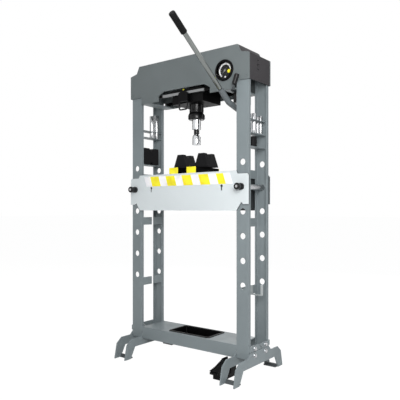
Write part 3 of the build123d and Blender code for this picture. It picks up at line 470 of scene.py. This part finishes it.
CLEAR_BEND = 1.05
SMEAR_SCALE = 40
SMEAR_ROUGH = 0.03
gauge_clear, clear_shader, clear_place = new_finish("gauge_clear")
clear_shader.inputs["Transmission Weight"].default_value = 1.0
clear_shader.inputs["IOR"].default_value = CLEAR_BEND
clear_smear = spread(gauge_clear, noise(gauge_clear, clear_place, SMEAR_SCALE), 0.0, SMEAR_ROUGH)
gauge_clear.node_tree.links.new(clear_smear, clear_shader.inputs["Roughness"])
print("eight soft finishes")

# %% [markdown]
# ## Dressing the CAD nodes
# Each CAD node takes one finish. Sheet metal never has a knife edge, so a Weld modifier joins the loose
# triangles and a Bevel modifier breaks the sharp edges, which then catch the light. The table plates get
# a finer bevel, because a wide one runs into itself at the keyholes.

# %% Finishes and broken edges
SHEET_EDGE = 0.0014
FINE_EDGE = 0.0004
EDGE_ANGLE = 40
EDGE_WELD = 0.00001

DRESS = {
    frame_enamel: (
        "back_left_post back_right_post front_left_post front_right_post head_floor_plates left_foot_plates "
        "right_foot_plates base_ends base_shelf tool_racks"
    ),
    head_enamel_painted_shade: "head_back_plate head_front_plate head_screws",
    cover_enamel_and_painted_shade: "head_cover",
    sole_enamel_painted_shade: "foot_soles",
    hook_enamel: "hang_hook",
    table_enamel: "table_front_plate table_back_plate table_ends",
    black_enamel: "cylinder_barrel gland_collar ram_neck carriage_handle pump_body valve_block",
    black_satin: (
        "carriage_block handle_block table_bars tool_tray pedal_base foot_pedal pedal_tread gauge_case"
    ),
    socket_enamel: "lever_socket",
    block_iron: "v_blocks stored_tools",
    ram_chrome: "ram_rod ram_nose piston pump_plunger",
    lever_chrome: "lever_rod",
    turned_steel: "left_table_pin right_table_pin base_bolts lever_pivot_pin pedal_pivot_pin nose_set_screw",
    dark_steel: "valve_stem",
    mandrel_steel: "mandrels",
    rail_steel: "carriage_rails",
    knob_plastic: "left_pin_knob right_pin_knob valve_grip",
    grip_rubber: "lever_grip",
    dial_black: "gauge_dial",
    needle_gray: "gauge_needle",
    stripe_yellow: "tape_stripes bar_caps",
    field_white: "tape_band",
    gauge_clear: "gauge_glass",
}
FINE_EDGES = {"table_front_plate", "table_back_plate"}
PLAIN_EDGES = {
    "tape_stripes", "tape_band", "gauge_glass", "gauge_dial", "gauge_needle", "lever_grip", "lever_socket",
}

dressed = set()
for finish, names in DRESS.items():
    for name in names.split():
        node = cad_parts[name]
        node.data.materials.clear()
        node.data.materials.append(finish)
        dressed.add(name)
        if name in PLAIN_EDGES:
            continue
        weld = node.modifiers.new("weld", "WELD")
        weld.merge_threshold = EDGE_WELD
        edge = node.modifiers.new("edge", "BEVEL")
        edge.width = FINE_EDGE if name in FINE_EDGES else SHEET_EDGE
        edge.segments = 2
        edge.limit_method = "ANGLE"
        edge.angle_limit = math.radians(EDGE_ANGLE)
print("dressed", len(dressed), "undressed", sorted(set(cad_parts) - dressed))

# %% [markdown]
# ## The gauge face
# The dial carries a white arc, a row of ticks, plain numbers, a yellow mark and a white adjusting screw.
# All of them are thin plates on the dial. The arc is made by spinning a short edge round the gauge's axis.

# %% Dial marks
dial_low, dial_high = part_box("gauge_dial")
DIAL_X = (dial_low.x + dial_high.x) / 2
DIAL_Z = (dial_low.z + dial_high.z) / 2
DIAL_FACE = dial_low.y
DIAL_RADIUS = (dial_high.x - dial_low.x) / 2
INK = 0.0004
SCALE_START = 235
SCALE_SWEEP = 235
ARC_INNER = 0.68
ARC_OUTER = 0.87
ARC_STEPS = 60


def add_piece(name, mesh_builder, finish, body):
    """Turns a bmesh into a finished piece that rides on a body."""
    mesh = bpy.data.meshes.new(name)
    bmesh.ops.recalc_face_normals(mesh_builder, faces=mesh_builder.faces)
    mesh_builder.to_mesh(mesh)
    mesh_builder.free()
    mesh.materials.append(finish)
    piece = bpy.data.objects.new(name, mesh)
    bpy.context.collection.objects.link(piece)
    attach(piece, body)
    return piece


def on_dial(radius, angle, lift=0.0):
    """A point on the dial, by radius and by angle from three o'clock, anticlockwise."""
    turn = math.radians(angle)
    across = DIAL_X + radius * math.cos(turn)
    up = DIAL_Z + radius * math.sin(turn)
    return Vector((across, DIAL_FACE - lift, up))


def dial_band(sheet, inner, outer, start, sweep, steps):
    """A flat ring sector: one short edge spun round the gauge's axis."""
    ends = [sheet.verts.new(on_dial(radius, start)) for radius in (inner, outer)]
    stroke = sheet.edges.new(ends)
    bmesh.ops.spin(
        sheet, geom=[*ends, stroke], cent=(DIAL_X, DIAL_FACE, DIAL_Z), axis=(0, 1, 0),
        angle=math.radians(sweep), steps=steps,
    )


def thicken(sheet, depth):
    """Lifts flat faces off the dial by the depth of ink."""
    grown = bmesh.ops.extrude_face_region(sheet, geom=sheet.faces[:])
    moved = [item for item in grown["geom"] if isinstance(item, bmesh.types.BMVert)]
    bmesh.ops.translate(sheet, verts=moved, vec=(0, -depth, 0))


arc = bmesh.new()
dial_band(arc, DIAL_RADIUS * ARC_INNER, DIAL_RADIUS * ARC_OUTER, SCALE_START, SCALE_SWEEP, ARC_STEPS)
thicken(arc, INK)
add_piece("dial_arc", arc, dial_white, "frame")
print("dial radius", round(DIAL_RADIUS, 4))

# %% [markdown]
# The ticks are small bars, every fourth one longer and with a number. Two short cones make the yellow mark
# and the screw head.

# %% Ticks, numbers and marks
TICK_COUNT = 25
MAJOR_EVERY = 4
MAJOR_LENGTH, MAJOR_WIDTH = 0.045, 0.0012
MINOR_LENGTH, MINOR_WIDTH = 0.025, 0.0007
NUMBER_SIZE = 0.0052
NUMBER_RING = 0.75
MARK_RING, MARK_ANGLE = 0.53, -14
MARK_FOOT, MARK_TOP = 0.24, 0.20
MARK_PROUD = INK * 4
SCREW_RING, SCREW_ANGLE = 0.74, 272
SCREW_FOOT, SCREW_TOP = 0.11, 0.10
SCREW_PROUD = INK * 5


def tick_angle(index):
    """The angle of a tick on the scale."""
    return SCALE_START - SCALE_SWEEP * index / (TICK_COUNT - 1)


def facing_front(point):
    """Stands a shape that was made along Z at a point, along the front-to-back axis."""
    return Matrix.Translation(point) @ Matrix.Rotation(UPRIGHT, 4, "X")


ticks = bmesh.new()
for index in range(TICK_COUNT):
    angle = tick_angle(index)
    major = index % MAJOR_EVERY == 0
    length, width = (MAJOR_LENGTH, MAJOR_WIDTH) if major else (MINOR_LENGTH, MINOR_WIDTH)
    inner = DIAL_RADIUS * (ARC_OUTER - length)
    outer = DIAL_RADIUS * ARC_OUTER
    middle = on_dial((inner + outer) / 2, angle, INK * 1.5)
    lean = Matrix.Rotation(-math.radians(angle), 3, "Y")
    stroke = bmesh.ops.create_cube(ticks, size=1)["verts"]
    bmesh.ops.scale(ticks, vec=(outer - inner, INK, width), verts=stroke)
    bmesh.ops.rotate(ticks, cent=(0, 0, 0), matrix=lean, verts=stroke)
    bmesh.ops.translate(ticks, vec=middle, verts=stroke)
add_piece("dial_ticks", ticks, dial_black, "frame")

for index in range(0, TICK_COUNT, MAJOR_EVERY):
    words = bpy.data.curves.new("number", "FONT")
    words.body = str(index * 5 // 2)
    words.size = NUMBER_SIZE
    words.extrude = INK / 2
    words.align_x = "CENTER"
    words.align_y = "CENTER"
    holder = bpy.data.objects.new("number", words)
    bpy.context.collection.objects.link(holder)
    bpy.context.view_layer.update()
    solid_words = holder.evaluated_get(bpy.context.evaluated_depsgraph_get())
    flat = bpy.data.meshes.new_from_object(solid_words)
    bpy.data.objects.remove(holder)
    flat.transform(facing_front(on_dial(DIAL_RADIUS * NUMBER_RING, tick_angle(index), INK)))
    flat.materials.clear()
    flat.materials.append(dial_black)
    number = bpy.data.objects.new(f"dial_number_{index}", flat)
    bpy.context.collection.objects.link(number)
    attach(number, "frame")

mark = bmesh.new()
bmesh.ops.create_cone(
    mark, cap_ends=True, segments=5, depth=MARK_PROUD,
    radius1=DIAL_RADIUS * MARK_FOOT, radius2=DIAL_RADIUS * MARK_TOP,
    matrix=facing_front(on_dial(DIAL_RADIUS * MARK_RING, MARK_ANGLE, MARK_PROUD / 2)),
)
add_piece("dial_limit_mark", mark, stripe_yellow, "frame")

screw = bmesh.new()
bmesh.ops.create_cone(
    screw, cap_ends=True, segments=20, depth=SCREW_PROUD,
    radius1=DIAL_RADIUS * SCREW_FOOT, radius2=DIAL_RADIUS * SCREW_TOP,
    matrix=facing_front(on_dial(DIAL_RADIUS * SCREW_RING, SCREW_ANGLE, SCREW_PROUD / 2)),
)
add_piece("dial_zero_screw", screw, dial_white, "frame")
print("ticks", TICK_COUNT)

# %% [markdown]
# ## The ends of the table pins
# Each pin shows its turned end in the middle of its knob. A short cone with a broken edge makes it, and it
# rides with the pin.

# %% Pin ends
PIN_END_RADIUS = 0.0075
PIN_END_PROUD = 0.0012
PIN_END_EDGE = 0.0004
RIM_EDGE_MOST = PIN_END_PROUD * 1.6

for side in ("left", "right"):
    knob_low, knob_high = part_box(f"{side}_pin_knob")
    knob_middle = (knob_low + knob_high) / 2
    knob_front = Vector((knob_middle.x, knob_low.y, knob_middle.z))
    button = bmesh.new()
    bmesh.ops.create_cone(
        button, cap_ends=True, segments=28, depth=2 * PIN_END_PROUD,
        radius1=PIN_END_RADIUS, radius2=PIN_END_RADIUS, matrix=facing_front(knob_front),
    )
    rim = [edge for edge in button.edges if edge.calc_length() < RIM_EDGE_MOST]
    bmesh.ops.bevel(
        button, geom=rim, offset=PIN_END_EDGE, segments=2, profile=0.5, affect="EDGES", material=-1
    )
    add_piece(f"{side}_pin_end", button, turned_steel, f"{side}_pin")
print("pin ends at y", round(knob_front.y, 4))

# %% [markdown]
# ## The pointer on the carriage
# A small yellow wedge on the handle block shows where the ram stands in the window. A four-sided cone,
# flattened, makes it, and it rides on the carriage.

# %% Pointer
POINTER_RISE = 0.007
POINTER_WIDTH = 0.008
POINTER_TIP = POINTER_WIDTH * 0.2
POINTER_EDGE = 0.0006
POINTER_SETBACK = 0.0045
FLATTEN = Matrix.Diagonal((1, 0.5, 1, 1))

block_low, block_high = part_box("handle_block")
pointer_foot = Vector(((block_low.x + block_high.x) / 2, block_low.y + POINTER_SETBACK, block_high.z))
pointer_middle = pointer_foot + Vector((0, 0, POINTER_RISE / 2))
wedge = bmesh.new()
bmesh.ops.create_cone(
    wedge, cap_ends=True, segments=4, radius1=POINTER_WIDTH, radius2=POINTER_TIP, depth=POINTER_RISE,
    matrix=Matrix.Translation(pointer_middle) @ FLATTEN,
)
bmesh.ops.bevel(
    wedge, geom=wedge.edges[:], offset=POINTER_EDGE, segments=2, profile=0.5, affect="EDGES", material=-1
)
add_piece("carriage_pointer", wedge, stripe_yellow, "carriage")
print("pointer at", [round(v, 3) for v in pointer_foot])

# %% [markdown]
# ## The lever's rubber grip
# The grip is a ribbed rubber sleeve pushed over the rod. A profile with ribs is spun round the lever's own
# axis. It replaces the plain sleeve of the CAD model.

# %% Ribbed grip
LEVER_ANGLE = math.radians(35.5)
GRIP_RADIUS = 0.0175
ROD_RADIUS = 0.0125
GRIP_LENGTH = 0.124
RIB_COUNT = 9
RIB_START = 0.016
RIB_PITCH = 0.0096
RIB_DEPTH = 0.0012
GROOVE_STEPS = (0.0012, 0.0030, 0.0042)
FOOT_SHARE, FOOT_ROUND = 0.96, 0.003
END_ROUND, END_NEAR = 0.006, 0.002
END_SHARE, TIP_SHARE = 0.88, 0.6
GRIP_STEPS = 40
GRIP_MERGE = 0.00002

grip_low, grip_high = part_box("lever_grip")
lever_aim = Vector((0, -math.cos(LEVER_ANGLE), math.sin(LEVER_ANGLE)))
grip_middle = (grip_low + grip_high) / 2
grip_foot = grip_middle - lever_aim * GRIP_LENGTH / 2
lever_side = Vector((1, 0, 0))

profile = [(0.0, ROD_RADIUS), (0.0, GRIP_RADIUS * FOOT_SHARE), (FOOT_ROUND, GRIP_RADIUS)]
for rib in range(RIB_COUNT):
    start = RIB_START + rib * RIB_PITCH
    down, along_floor, up = (start + step for step in GROOVE_STEPS)
    profile += [(start, GRIP_RADIUS), (down, GRIP_RADIUS - RIB_DEPTH)]
    profile += [(along_floor, GRIP_RADIUS - RIB_DEPTH), (up, GRIP_RADIUS)]
profile += [(GRIP_LENGTH - END_ROUND, GRIP_RADIUS), (GRIP_LENGTH - END_NEAR, GRIP_RADIUS * END_SHARE)]
profile += [(GRIP_LENGTH, GRIP_RADIUS * TIP_SHARE), (GRIP_LENGTH, 0.0)]

sleeve = bmesh.new()
line = [sleeve.verts.new(grip_foot + lever_aim * along + lever_side * out) for along, out in profile]
strokes = [sleeve.edges.new(pair) for pair in zip(line, line[1:])]
bmesh.ops.spin(
    sleeve, geom=[*line, *strokes], cent=grip_foot, axis=lever_aim, angle=math.radians(360),
    steps=GRIP_STEPS, use_merge=True,
)
bmesh.ops.remove_doubles(sleeve, verts=sleeve.verts, dist=GRIP_MERGE)
grip = add_piece("ribbed_grip", sleeve, grip_rubber, "pump_lever")
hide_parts("lever_grip")
print("grip ribs", RIB_COUNT)

# %% [markdown]
# ## The foot plates
# Each foot is two plates with one outline. Behind the knee the top edge dips under the shelf, then climbs
# to the ear that is bolted to the frame. The outline is drawn once, mirrored front to back, given its
# thickness with an extrusion, and the broken edges come from a bevel.

# %% Foot plates
FOOT_WALL = 0.008
FOOT_EDGE = 0.0012
EAR_REACH = 0.100
DIP_REACH = 0.128
DIP_HEIGHT = 0.127
KNEE_REACH = 0.209
TOE_REACH = 0.250
TOE_HEIGHT = 0.094
HEEL_REACH = 0.217
ARCH_REACH = 0.177
ARCH_HEIGHT = 0.072

for side in ("left", "right"):
    foot_low, foot_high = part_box(f"{side}_foot_plates")
    half = [
        (EAR_REACH, foot_high.z), (DIP_REACH, DIP_HEIGHT), (KNEE_REACH, DIP_HEIGHT), (TOE_REACH, TOE_HEIGHT),
        (foot_high.y, foot_low.z), (HEEL_REACH, foot_low.z), (ARCH_REACH, ARCH_HEIGHT),
    ]
    outline = half + [(-y, z) for y, z in reversed(half)]
    plates = bmesh.new()
    for x in (foot_low.x, foot_high.x - FOOT_WALL):
        sheet = plates.faces.new([plates.verts.new((x, y, z)) for y, z in outline])
        grown = bmesh.ops.extrude_face_region(plates, geom=[sheet], use_keep_orig=True)["geom"]
        moved = [item for item in grown if isinstance(item, bmesh.types.BMVert)]
        bmesh.ops.translate(plates, verts=moved, vec=(FOOT_WALL, 0, 0))
    bmesh.ops.bevel(
        plates, geom=plates.edges[:], offset=FOOT_EDGE, segments=2, profile=0.5, affect="EDGES", material=-1
    )
    foot = add_piece(f"{side}_foot", plates, frame_enamel, "frame")
    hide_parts(f"{side}_foot_plates")
print("foot outline corners", len(outline))

# %% [markdown]
# ## Weld beads
# The base shelf is welded at its four corners. A weld bead is a row of small overlapping drops, so each
# seam is a row of spheres with few faces.

# %% Beads
BEAD_RADIUS = 0.0032
BEAD_STEP = 0.0030
SEAM_INSET = 0.002
SEAM_LENGTH = 0.022


def weld_row(beads, start, end):
    """A row of drops from one point to another."""
    run = Vector(end) - Vector(start)
    count = int(run.length / BEAD_STEP)
    for index in range(count + 1):
        drop = bmesh.ops.create_icosphere(beads, subdivisions=1, radius=BEAD_RADIUS)["verts"]
        bmesh.ops.translate(beads, verts=drop, vec=Vector(start) + run * index / count)


shelf_low, shelf_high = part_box("base_shelf")
beads = bmesh.new()
for x in (shelf_low.x, shelf_high.x):
    for y in (shelf_low.y + SEAM_INSET, shelf_high.y - SEAM_INSET):
        inward = SEAM_LENGTH if y < 0 else -SEAM_LENGTH
        weld_row(beads, (x, y, shelf_high.z), (x, y + inward, shelf_high.z))
add_piece("shelf_welds", beads, frame_enamel, "frame")
print("welds at height", round(shelf_high.z, 4))
